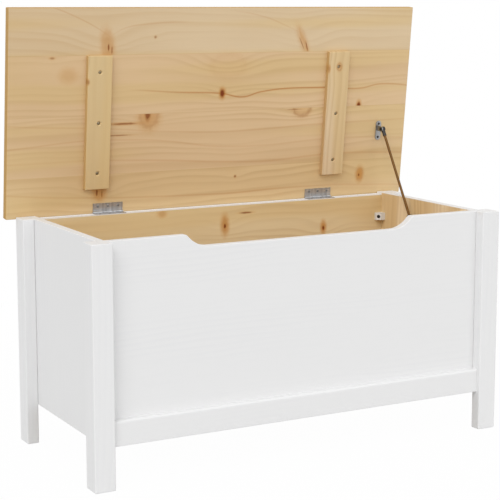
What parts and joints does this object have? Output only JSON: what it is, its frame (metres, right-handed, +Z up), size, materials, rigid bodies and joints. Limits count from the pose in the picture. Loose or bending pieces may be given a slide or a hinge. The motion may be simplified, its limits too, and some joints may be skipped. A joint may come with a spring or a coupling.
{
  "type": "storage box",
  "caption": "White-painted wooden storage box on legs, with a hand cut-out in the front and a hinged pine lid that a sliding rod stay holds open.",
  "frame": {"origin": "on the floor, in the middle of the space that the box takes up with its lid open", "axes": "+X to the right seen from the front, along the box's length; +Y to the rear, towards the hinges; +Z up"},
  "size_m": [1, 0.4346, 0.9253],
  "materials": {
    "painted_pine": "white satin paint over pine outside and on the edges, clear-lacquered pine inside",
    "lacquered_pine": "clear-lacquered glued pine board",
    "bare_pine": "clear-lacquered pine",
    "floor_ply": "plain plywood",
    "white_plastic": "moulded",
    "black_plastic": "moulded",
    "hinge_steel": "zinc plated",
    "stay_steel": "zinc plated",
    "stay_rod_steel": "bronzed"
  },
  "bodies": {
    "base": {"leg_front_left": "painted_pine", "leg_front_right": "painted_pine", "leg_rear_left": "painted_pine", "leg_rear_right": "painted_pine", "front_panel": "painted_pine", "front_rail": "painted_pine", "side_panel_left": "painted_pine", "side_panel_right": "painted_pine", "back_panel": "painted_pine", "floor_cleat_front": "bare_pine", "floor_cleat_back": "bare_pine", "floor_panel": "floor_ply", "corner_blocks": "white_plastic", "hinge_right_body_leaf": "hinge_steel", "hinge_left_body_leaf": "hinge_steel", "hinge_right_pin": "hinge_steel", "hinge_left_pin": "hinge_steel", "stay_guide_plate": "stay_steel"},
    "lid": {"lid_panel": "lacquered_pine", "lid_batten_left": "bare_pine", "lid_batten_right": "bare_pine", "hinge_right_lid_leaf": "hinge_steel", "hinge_left_lid_leaf": "hinge_steel", "stay_lid_bracket": "stay_steel", "stay_pivot_pin": "stay_steel"},
    "stay_rod": {"stay_rod": "stay_rod_steel", "stay_rod_end": "black_plastic", "stay_stop_collar": "stay_steel"},
    "stay_guide": {"stay_guide": "stay_steel"}
  },
  "joints": [
    {"name": "lid_hinge", "type": "hinge", "parent": "base", "child": "lid", "pos_m": [0, 0.19771, 0.4829], "axis": [1, 0, 0], "range_deg": [0, 83.8]},
    {"name": "stay_pivot", "type": "hinge", "parent": "lid", "child": "stay_rod", "pos_m": [0.427, 0.16474, 0.63825], "axis": [1, 0, 0], "range_deg": [-41.9, 0]},
    {"name": "guide_swivel", "type": "hinge", "parent": "base", "child": "stay_guide", "pos_m": [0.427, 0.04554, 0.43747], "axis": [1, 0, 0], "range_deg": [0, 41.9]}
  ],
  "couplings": [
    {"joint": "stay_pivot", "follows": "lid_hinge", "ratio": -0.5},
    {"joint": "guide_swivel", "follows": "lid_hinge", "ratio": 0.5}
  ]
}
